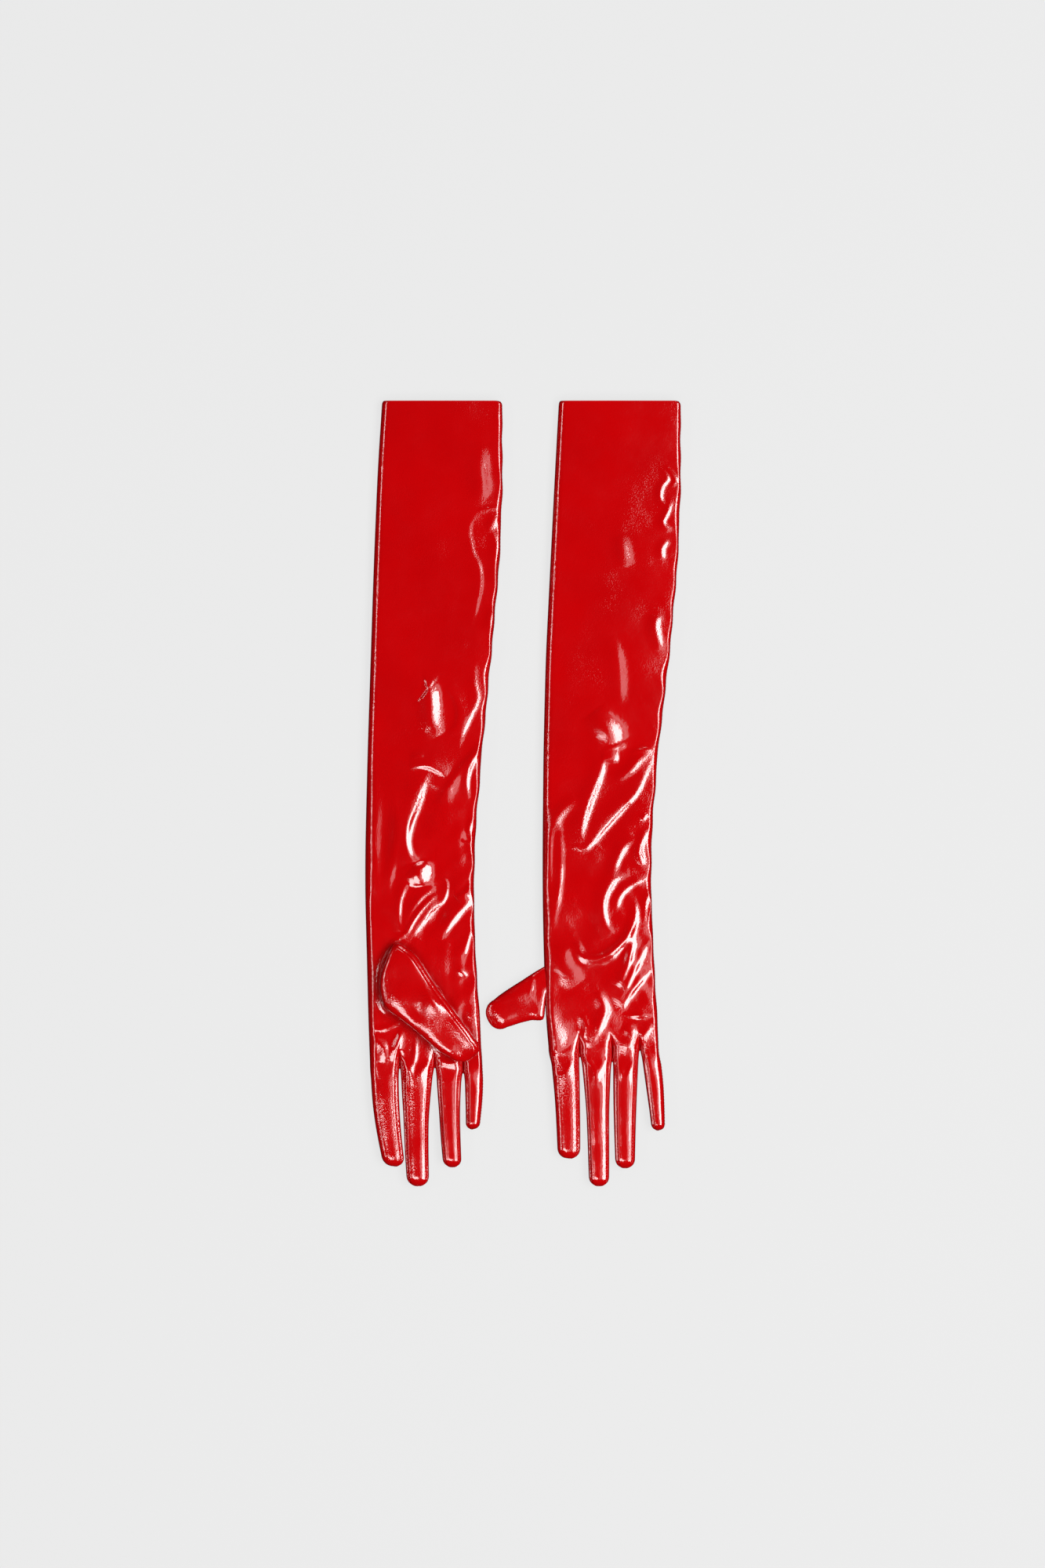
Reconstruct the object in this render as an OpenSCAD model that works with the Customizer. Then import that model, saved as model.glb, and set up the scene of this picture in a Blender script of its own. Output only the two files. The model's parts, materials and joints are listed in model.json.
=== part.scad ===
// A pair of long leather gloves lying flat side by side, cuffs towards +Y, fingers towards -Y.
// The right-hand glove lies palm up at -X, the left-hand glove lies back up at +X.
// Every glove is a flattened tube: an arm in two lengths, a hand, four fingers and a thumb.

/* [Glove] */
// Length from the cuff to the tip of the middle finger
glove_len = 580; // [560:1:600]
// Height of a glove that lies flat, through both of its sides
flat_t = 12; // [11:0.5:14]
// Height of a finger near its middle
finger_t = 11; // [10:0.5:12]

/* [Leather and lining] */
// Thickness of the leather
leather_t = 1; // [0.8:0.1:1.2]
// Thickness of the knitted lining
lining_t = 0.4; // [0.3:0.1:0.5]
// Width of the leather turned in at the cuff
hem_w = 14; // [10:1:18]
// Diameter of the sewing thread
thread_d = 0.6; // [0.4:0.1:0.8]
// Length and width of the blank label inside the cuff
label_size = [24, 14]; // [10:1:30]

/* [Joints] */
// Place of the elbow along Y
elbow_y = 190; // [180:1:200]
// Place of the wrist along Y
wrist_y = -70; // [-80:1:-60]
// Space that the wrist needs to bend both ways
wrist_gap = 6; // [6:0.5:8]
// Space between two moving pieces that meet
move_gap = 0.4; // [0.3:0.05:0.6]

/* [Hidden] */
size_k = glove_len / 580;
// Turn from the side of a finger to the seams of its fourchette, and of the gap at a seam
seam_angle = 48;
seam_gap_angle = 2;
// Space between two layers that touch
layer_gap = 0.1;
// The hem's leather is shaved thinner before it is turned in
hem_leather_t = 0.8 * leather_t;
label_t = 0.4;
quirk_len = 6;
thumb_tip_half = 5.5;
thread_sides = 5;
// Depth of the cut for each thumb's opening
thumb_hole_depth = 4;
top = 1;
bottom = -1;
right = "right";
left = "left";
// Rows are Y, the edge on the index finger's side and the edge on the little finger's side
right_plan = [[290, -104.6, -15.6], [240, -107.9, -15.1], [170, -110.8, -17.4], [100, -113.1, -23.8],
    [30, -115.4, -30.7], [-40, -117.1, -36], [-75, -117.2, -36.5], [-109, -116.2, -36],
    [-167, -114.8, -31.9], [-205, -113.4, -29.9]];
left_plan = [[290, 26, 116.3], [240, 23.2, 116.6], [170, 19.7, 114.3], [100, 16.2, 107.9],
    [30, 14.5, 99.2], [-40, 13.9, 94.5], [-75, 13.9, 94.5], [-109, 14.5, 95.7],
    [-167, 16.2, 99.2], [-190, 18.6, 100.1]];
// Line along Y where the fingers leave the hand
finger_line = [["right", -199], ["left", -187]];
// Where neighbouring fingers meet on that line, along X
right_forks = [-91.6, -65.5, -44.7];
left_forks = [41.2, 65.5, 85.8];
// Rows are the centre and half width at the root, the same halfway, the centre near the tip
// with its half width, and the tip's Y
index_finger = [["right", [-102.6, 10.6, -101.4, 9.9, -96.9, 8.4, -275.5]],
    ["left", [30.0, 10.9, 32.3, 9.4, 33.4, 8.6, -269.7]]];
middle_finger = [["right", [-78.6, 12.6, -79.5, 9.5, -78.4, 8.6, -290]],
    ["left", [53.4, 11.8, 54.7, 8.6, 55.6, 7.8, -290]]];
ring_finger = [["right", [-55.1, 10.1, -54.9, 8.0, -53.1, 7.2, -276]],
    ["left", [75.7, 9.8, 74.8, 8.8, 74.9, 7.6, -276.7]]];
little_finger = [["right", [-37.3, 7.1, -36.8, 6.7, -37.6, 5.4, -248]],
    ["left", [92.9, 7.0, 96.6, 6.7, 99.0, 5.2, -248.8]]];
// Rows are the way along the thumb, the centre across it, the half width and the half height
right_thumb_rows = [[-3, 9.5, 7.5, 1.3], [3, 4, 13, 2], [10, 1.6, 16.6, 3.2], [20, -1.8, 19.5, 5],
    [30, -2.9, 20.1, 6], [42, -0.7, 17.6, 6], [55, 1.4, 15.9, 6], [70, 3.3, 14.3, 5.8],
    [80, 4.9, 13.2, 5.5], [87, 6.6, 10.9, 4.8], [92, 8.2, 7.4, 3.4], [95, 9.3, 3.6, 1.6], [96, 9.7, 1, 0.5]];
left_thumb_rows = [[-16, -0.5, 19, 5.4], [-4, -1, 17.6, 5.4], [8, -2.2, 15.8, 5.4], [16, -2.9, 14.4, 5.4],
    [24, -3.4, 13, 5.4], [32, -3.3, 11.8, 5.3], [37, -3, 10.4, 4.9], [41, -3, 8, 4],
    [43.8, -3, 4.8, 2.6], [45, -3, 0.6, 0.5]];
// Rows are the place of the thumb's root and the turn of its length from -Y
right_thumb_place = [-99.8, -121.2, 35.3];
left_thumb_place = [15, -150, -63.4];
// Where the left thumb meets the side of the hand, along X
left_thumb_end = 14.1;
// Oval that joins the thumb to the palm: its centre, its length along Y and its width
thumb_hole = [["right", [-92, -134, 32, 18]], ["left", [27, -146, 28, 14]]];

PIECES = [
    "trank_upper_arm", "trank_forearm", "trank_hand", "cuff_hem",
    "lining_upper_arm", "lining_forearm", "size_label",
    "index_palm_face", "index_back_face", "index_fourchette",
    "middle_palm_face", "middle_back_face", "middle_fourchettes",
    "ring_palm_face", "ring_back_face", "ring_fourchettes",
    "little_palm_face", "little_back_face", "little_fourchette",
    "thumb_palm_face", "thumb_back_face", "quirks",
    "side_seam_upper_arm", "side_seam_forearm", "side_seam_hand",
    "index_stitching", "middle_stitching", "ring_stitching", "little_stitching",
    "thumb_stitching"];

// ---- Small helpers ----

function mix(a, b, t) = a + (b - a) * t;

function pick(table, key) = [for (row = table) if (row[0] == key) row[1]][0];

function plan_of(hand) = hand == right ? right_plan : left_plan;

function edge_at(hand, y, column) = size_k * lookup(y / size_k, [for (row = plan_of(hand)) [row[0], row[column]]]);

function palm_side(hand) = hand == right ? top : bottom;

function hinge_line(hand) = size_k * pick(finger_line, hand);

// A curve through three values at the start, halfway and the end
function through(a, b, c, t) = a * (1 - t) * (1 - 2 * t) + 4 * b * t * (1 - t) + c * t * (2 * t - 1);

// ---- Sections of a flattened tube ----
// A section point is a side (+1 towards +X, -1 towards -X) and an angle round its rounded edge.

function arc_steps(side, from, to, count) = [for (i = [0:count]) [side, mix(from, to, i / count)]];

function top_face(from, to) = concat(arc_steps(1, from, 90, 3), arc_steps(-1, 90, to, 3));

function bottom_face(from, to) = concat(arc_steps(-1, from, 270, 3), arc_steps(1, 270, to, 3));

function side_strip(side) = side > 0
    ? arc_steps(1, seam_gap_angle - seam_angle, seam_angle - seam_gap_angle, 3)
    : arc_steps(-1, 180 + seam_gap_angle - seam_angle, 180 + seam_angle - seam_gap_angle, 3);

function whole_ring() = concat(arc_steps(1, seam_gap_angle, 90, 4), arc_steps(-1, 90, 270, 8),
    arc_steps(1, 270, 360 - seam_gap_angle, 4));

// A station is [y, centre x, half width, half height, centre z]
function rim(station, point, inset) = let (
        half_w = max(station[2] - inset, 0.25),
        half_h = max(min(station[3] - inset, half_w - 0.1), 0.12))
    [station[1] + point[0] * (half_w - half_h) + half_h * cos(point[1]),
     station[0],
     station[4] + half_h * sin(point[1])];

function pull(point, distance) = [point[0], point[1] + distance, point[2]];

function ring_faces(a, b, flip) = flip ? [[a[0], b[1], a[1]], [a[0], b[0], b[1]]]
    : [[a[0], a[1], b[1]], [a[0], b[1], b[0]]];

// Leather between two insets from the outside of a lofted tube, over part of its section
module skin(stations, section, inset, wall, closed_tip = false) {
    rings = len(stations);
    count = len(section);
    last = rings - 1;
    outer = [for (i = [0:last]) for (j = [0:count - 1]) rim(stations[i], section[j], inset)];
    inner = [for (i = [0:last]) for (j = [0:count - 1])
        pull(rim(stations[i], section[j], inset + wall), closed_tip ? wall * pow(i / last, 2) : 0)];
    shift = rings * count;
    long_faces = [for (i = [0:last - 1]) for (j = [0:count - 2])
        let (a = i * count + j, b = a + count)
        each concat(ring_faces([a, a + 1], [b, b + 1], false),
            ring_faces([a + shift, a + 1 + shift], [b + shift, b + 1 + shift], true))];
    side_faces = [for (i = [0:last - 1])
        let (a = i * count, b = a + count, c = a + count - 1, d = c + count)
        each concat(ring_faces([a + shift, a], [b + shift, b], false),
            ring_faces([c, c + shift], [d, d + shift], false))];
    end_faces = [for (j = [0:count - 2])
        let (c = last * count + j)
        each concat(ring_faces([j + shift, j + 1 + shift], [j, j + 1], false),
            ring_faces([c, c + 1], [c + shift, c + 1 + shift], false))];
    polyhedron(concat(outer, inner), concat(long_faces, side_faces, end_faces));
}

// Sewing thread that lies along one line of a lofted tube
module thread(stations, point) {
    rings = len(stations);
    radius = thread_d / 2;
    proud = radius + layer_gap;
    points = [for (station = stations)
        let (centre = rim(station, point, -proud))
        for (k = [0:thread_sides - 1])
            centre + radius * [cos(360 * k / thread_sides), 0, sin(360 * k / thread_sides)]];
    long_faces = [for (i = [0:rings - 2]) for (k = [0:thread_sides - 1])
        let (a = i * thread_sides, n = (k + 1) % thread_sides, b = a + thread_sides)
        each ring_faces([a + k, a + n], [b + k, b + n], false)];
    start_cap = [for (k = [thread_sides - 1:-1:0]) k];
    end_cap = [for (k = [0:thread_sides - 1]) (rings - 1) * thread_sides + k];
    polyhedron(points, concat(long_faces, [start_cap, end_cap]));
}

// ---- Stations of the arm, the fingers and the thumbs ----

function arm_station(hand, y) = let (near = edge_at(hand, y, 1), far = edge_at(hand, y, 2))
    [y, (near + far) / 2, (far - near) / 2, flat_t / 2, flat_t / 2];

// Stations from one end to the other, with one at every row of the plan between them
function arm_stations(hand, from, to) = concat([arm_station(hand, from)],
    [for (row = plan_of(hand)) let (y = size_k * row[0]) if (y < from && y > to) arm_station(hand, y)],
    [arm_station(hand, to)]);

function finger_half_w(row, t) = t < 0.5 ? mix(row[1], row[3], 2 * t) : mix(row[3], row[5], 2 * t - 1);

// The last stretch of a finger is round in plan and from the side
function finger_stations(hand, finger) = let (
        row = size_k * pick(finger, hand),
        start = hinge_line(hand) - move_gap,
        round_len = row[5],
        straight = row[6] + round_len)
    concat(
        [for (i = [0:6]) let (t = i / 6, half_h = mix(flat_t, finger_t, t) / 2)
            [mix(start, straight, t), through(row[0], row[2], row[4], t), finger_half_w(row, t),
             half_h, half_h]],
        [for (turn = [30, 52, 70, 84]) [straight - round_len * sin(turn), row[4],
            row[5] * cos(turn), finger_t / 2 * cos(turn), finger_t / 2]]);

function thumb_rows(hand) = hand == right ? right_thumb_rows : left_thumb_rows;

function thumb_floor(hand) = hand == right ? flat_t + move_gap : 0;

// The right thumb starts as a thin wedge on the palm; every tip is round from the side
function thumb_stations(hand) = [for (row = thumb_rows(hand))
    let (wedge = hand == right && row[0] < 75)
    [-size_k * row[0], size_k * row[1], size_k * row[2], row[3],
     thumb_floor(hand) + (wedge ? row[3] : thumb_tip_half)]];

module at_thumb(hand) {
    place = hand == right ? right_thumb_place : left_thumb_place;
    translate([size_k * place[0], size_k * place[1], 0]) rotate([0, 0, place[2]]) children();
}

// The left thumb is cut off straight where it meets the side of the hand
module thumb_room(hand) {
    if (hand == right) {
        children();
    } else {
        intersection() {
            children();
            translate([left_thumb_end * size_k - glove_len, -glove_len / 2, -flat_t])
                cube([glove_len, glove_len / 2, 3 * flat_t]);
        }
    }
}

// ---- Leather of the arm and hand ----

module trank(hand, from, to) {
    skin(arm_stations(hand, from, to), whole_ring(), 0, leather_t);
}

module trank_upper_arm(hand) {
    color("crimson") trank(hand, glove_len / 2, elbow_y + move_gap);
}

module trank_forearm(hand) {
    color("firebrick") trank(hand, elbow_y - move_gap, wrist_y + wrist_gap / 2);
}

module thumb_oval(hand) {
    hole = size_k * pick(thumb_hole, hand);
    middle = palm_side(hand) == top ? flat_t : 0;
    translate([hole[0], hole[1], middle]) scale([1, hole[2] / hole[3], 1])
        cylinder(h = thumb_hole_depth, r = hole[3] / 2, center = true, $fn = 24);
}

module trank_hand(hand) {
    color("crimson") difference() {
        trank(hand, wrist_y - wrist_gap / 2, hinge_line(hand));
        thumb_oval(hand);
    }
}

module cuff_hem(hand) {
    color("darkred") skin(arm_stations(hand, glove_len / 2 - layer_gap, glove_len / 2 - hem_w),
        whole_ring(), leather_t + layer_gap, hem_leather_t);
}

module lining(hand, from, to) {
    color("salmon") skin(arm_stations(hand, from, to), whole_ring(),
        leather_t + layer_gap, lining_t);
}

module size_label(hand) {
    y = glove_len / 2 - hem_w - label_size[1] / 2;
    centre = arm_station(hand, y)[1];
    layer = leather_t + lining_t + 3 * layer_gap;
    z = palm_side(hand) == top ? layer : flat_t - layer - label_t;
    color("white") translate([centre - label_size[0] / 2, y - label_size[1] / 2, z])
        cube([label_size[0], label_size[1], label_t]);
}

// ---- Leather of the fingers and thumb ----

// A face ends at far_angle on the little finger's side and at near_angle on the other side
module finger_face(hand, finger, up, far_angle, near_angle) {
    section = up == top ? top_face(far_angle, 180 - near_angle)
        : bottom_face(180 + near_angle, 360 - far_angle);
    color(up == top ? "red" : "firebrick")
        skin(finger_stations(hand, finger), section, 0, leather_t, true);
}

module palm_face(hand, finger, far_angle, near_angle) {
    finger_face(hand, finger, palm_side(hand), far_angle, near_angle);
}

module back_face(hand, finger, far_angle, near_angle) {
    finger_face(hand, finger, -palm_side(hand), far_angle, near_angle);
}

module fourchettes(hand, finger, sides) {
    color("darkred") for (side = sides)
        skin(finger_stations(hand, finger), side_strip(side), 0, leather_t, true);
}

module thumb_face(hand, up) {
    section = up == top ? top_face(seam_gap_angle, 180 - seam_gap_angle)
        : bottom_face(180 + seam_gap_angle, 360 - seam_gap_angle);
    color(up == top ? "red" : "firebrick") difference() {
        thumb_room(hand) at_thumb(hand) skin(thumb_stations(hand), section, 0, leather_t, true);
        if (hand == right && up == bottom) thumb_oval(hand);
    }
}

// Small diamonds that close the forks between the fingers
module quirks(hand) {
    height = flat_t - 2 * leather_t - 2 * layer_gap;
    color("darkred") for (x = size_k * (hand == right ? right_forks : left_forks))
        translate([x, hinge_line(hand) + quirk_len / 2 + layer_gap, flat_t / 2])
            scale([1, quirk_len / height, 1]) rotate([0, 90, 0])
                cylinder(h = leather_t, r = height / 2, center = true, $fn = 4);
}

// ---- Sewing ----

module side_seam(hand, from, to) {
    color("maroon") thread(arm_stations(hand, from, to), [1, 0]);
}

module finger_stitching(hand, finger, angles) {
    stations = finger_stations(hand, finger);
    sewn = [for (i = [0:len(stations) - 3]) stations[i]];
    color("maroon") for (angle = angles) thread(sewn, [cos(angle) > 0 ? 1 : -1, angle]);
}

module thumb_stitching(hand) {
    stations = thumb_stations(hand);
    sewn = [for (i = [1:len(stations) - 3]) stations[i]];
    color("maroon") thumb_room(hand) at_thumb(hand)
        for (point = [[1, 0], [-1, 180]]) thread(sewn, point);
}

// ---- Every sub-part of one glove ----

module glove_piece(hand, piece) {
    fold = seam_gap_angle / 2;
    both_seams = [seam_angle, 180 - seam_angle, 180 + seam_angle, 360 - seam_angle];
    upper_end = elbow_y + move_gap;
    forearm_start = elbow_y - move_gap;
    forearm_end = wrist_y + wrist_gap / 2;
    hand_start = wrist_y - wrist_gap / 2;
    if (piece == "trank_upper_arm") trank_upper_arm(hand);
    if (piece == "trank_forearm") trank_forearm(hand);
    if (piece == "trank_hand") trank_hand(hand);
    if (piece == "cuff_hem") cuff_hem(hand);
    if (piece == "lining_upper_arm")
        lining(hand, glove_len / 2 - hem_w - 3 * layer_gap, upper_end);
    if (piece == "lining_forearm") lining(hand, forearm_start, forearm_end);
    if (piece == "size_label") size_label(hand);
    if (piece == "index_palm_face") palm_face(hand, index_finger, seam_angle, fold);
    if (piece == "index_back_face") back_face(hand, index_finger, seam_angle, fold);
    if (piece == "index_fourchette") fourchettes(hand, index_finger, [1]);
    if (piece == "middle_palm_face") palm_face(hand, middle_finger, seam_angle, seam_angle);
    if (piece == "middle_back_face") back_face(hand, middle_finger, seam_angle, seam_angle);
    if (piece == "middle_fourchettes") fourchettes(hand, middle_finger, [-1, 1]);
    if (piece == "ring_palm_face") palm_face(hand, ring_finger, seam_angle, seam_angle);
    if (piece == "ring_back_face") back_face(hand, ring_finger, seam_angle, seam_angle);
    if (piece == "ring_fourchettes") fourchettes(hand, ring_finger, [-1, 1]);
    if (piece == "little_palm_face") palm_face(hand, little_finger, fold, seam_angle);
    if (piece == "little_back_face") back_face(hand, little_finger, fold, seam_angle);
    if (piece == "little_fourchette") fourchettes(hand, little_finger, [-1]);
    if (piece == "thumb_palm_face") thumb_face(hand, -palm_side(hand));
    if (piece == "thumb_back_face") thumb_face(hand, palm_side(hand));
    if (piece == "quirks") quirks(hand);
    if (piece == "side_seam_upper_arm") side_seam(hand, glove_len / 2, upper_end);
    if (piece == "side_seam_forearm") side_seam(hand, forearm_start, forearm_end);
    if (piece == "side_seam_hand") side_seam(hand, hand_start, hinge_line(hand));
    if (piece == "index_stitching") finger_stitching(hand, index_finger, [seam_angle, 360 - seam_angle]);
    if (piece == "middle_stitching") finger_stitching(hand, middle_finger, both_seams);
    if (piece == "ring_stitching") finger_stitching(hand, ring_finger, both_seams);
    if (piece == "little_stitching")
        finger_stitching(hand, little_finger, [0, 180 - seam_angle, 180 + seam_angle]);
    if (piece == "thumb_stitching") thumb_stitching(hand);
}

for (hand = [right, left])
    for (piece = PIECES)
        glove_piece(hand, piece);
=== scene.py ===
import json
import math

import bpy
import numpy as np
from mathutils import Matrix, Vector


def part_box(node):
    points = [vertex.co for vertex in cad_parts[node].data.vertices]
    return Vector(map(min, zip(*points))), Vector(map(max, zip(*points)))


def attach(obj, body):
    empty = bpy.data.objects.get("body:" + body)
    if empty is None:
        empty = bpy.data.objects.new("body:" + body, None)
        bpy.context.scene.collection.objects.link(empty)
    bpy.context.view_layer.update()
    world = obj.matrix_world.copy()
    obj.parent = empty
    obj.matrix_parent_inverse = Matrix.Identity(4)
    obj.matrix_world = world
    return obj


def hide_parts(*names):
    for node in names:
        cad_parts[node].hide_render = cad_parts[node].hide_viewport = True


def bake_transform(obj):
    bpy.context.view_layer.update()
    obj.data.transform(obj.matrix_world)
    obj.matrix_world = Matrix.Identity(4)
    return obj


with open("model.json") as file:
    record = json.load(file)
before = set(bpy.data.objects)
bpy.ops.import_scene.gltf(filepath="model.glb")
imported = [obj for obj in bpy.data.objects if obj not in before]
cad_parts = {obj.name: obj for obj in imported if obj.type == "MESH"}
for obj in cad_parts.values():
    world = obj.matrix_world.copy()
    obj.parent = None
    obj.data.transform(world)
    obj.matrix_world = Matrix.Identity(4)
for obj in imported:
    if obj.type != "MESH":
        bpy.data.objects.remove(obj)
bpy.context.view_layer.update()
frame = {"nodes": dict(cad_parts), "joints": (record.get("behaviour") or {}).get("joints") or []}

# Every length below is in millimetres until make_mesh turns it into metres.
MM = 0.001
PAPER = 0.83                  # brightness of the backdrop
LEATHER_T = 0.9               # thickness of the leather
LIFT = 0.15                   # gap between the gloves and the floor
ROW_STEP = 1.25               # distance between rows of points along an arm
ARC_STEPS = 8                 # columns round each quarter of a finger's side
FLAT_STEPS = 11               # columns across the flat of each finger
ARM_ROUND = 6.0               # radius of the fold on the index finger's side
SEAM_ROUND = 2.6              # width of the rounding at the sewn side
CUFF_Y = 290.0                # where the cuff's edge lies along Y
CORNER_ROUND = 3.2            # rounding of the cuff's corner at the sewn side
CREASE_RUN = 13.0             # length of the dips that lead to the forks
MIX_RUN = 34.0                # length over which the arm's columns gather into fingers
CROTCH_RUN = 11.0             # length over which a fork opens to its full width
FINGER_POWER = 2.5            # shape of a finger's section, 2 is an ellipse
TIP_POWER = 2.3               # shape of a fingertip seen from above
SPLIT_Y = 60.0                # where the arm's two long pieces meet, on the forearm
STITCH_PITCH = 2.2            # finger and thumb stitches
STITCH_LEN = 1.5
STITCH_R = 0.36
STITCH_LIFT = 0.12            # how far a stitch stands out of its seam
SUNK_LIFT = -0.14             # the same for stitches that lie deep in an outer seam
SIDE_PITCH = 2.6              # stitches of the long side seam
SIDE_STITCH = 2.2
SIDE_STITCH_R = 0.26
LINING_T = 0.35               # thickness of the knit
LINING_GAP = 0.25             # gap between the leather and the lining
LINING_FROM = 4               # rows between the cuff's edge and the lining's
HEM_DEPTH = 14.0              # how far the cuff's edge is turned in
HEM_T = 0.75                  # thickness of the pared leather of the hem
HEM_GAP = 0.04
LABEL_T = 0.3                 # thickness of the ribbon
ELBOW_BEND = (30.0, 30.0)     # lengths before and after each joint, handed with the pieces to blend_y
WRIST_BEND = (28.0, 22.0)
FINGER_BEND = 16.0            # length past the finger line, handed with the pieces to blend_y
SEAM_STEP = 5                 # columns between a finger's side and each of its seams
SEAM_PRESS = ((0, -0.55), (-1, 0.3), (1, 0.3))   # column from the seam, and how far it is pushed out
THUMB_COLUMNS = 88            # columns round a thumb
THUMB_POWER = 3.5             # shape of a thumb's section
THUMB_TOP = {"right": 6.0, "left": 12.0}         # where a thumb's rows start, past its root
ROOT_ROUND = 17.0             # length of the rounded root of the right thumb
ROOT_POWER = 2.1
PALM_TOP = 11.0               # height of the palm that the right thumb lies on
COLUMN_COUNT = 4 * (2 * (ARC_STEPS + 1) + FLAT_STEPS - 1) - 3
SIDE_SEAM_COLUMN = COLUMN_COUNT - 1
FLOOR_GLOW = 0.752            # what the camera sees of the floor
FLOOR_BOUNCE = 0.22           # what the floor throws back at the gloves

FINGERS = ("index", "middle", "ring", "little")

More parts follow.
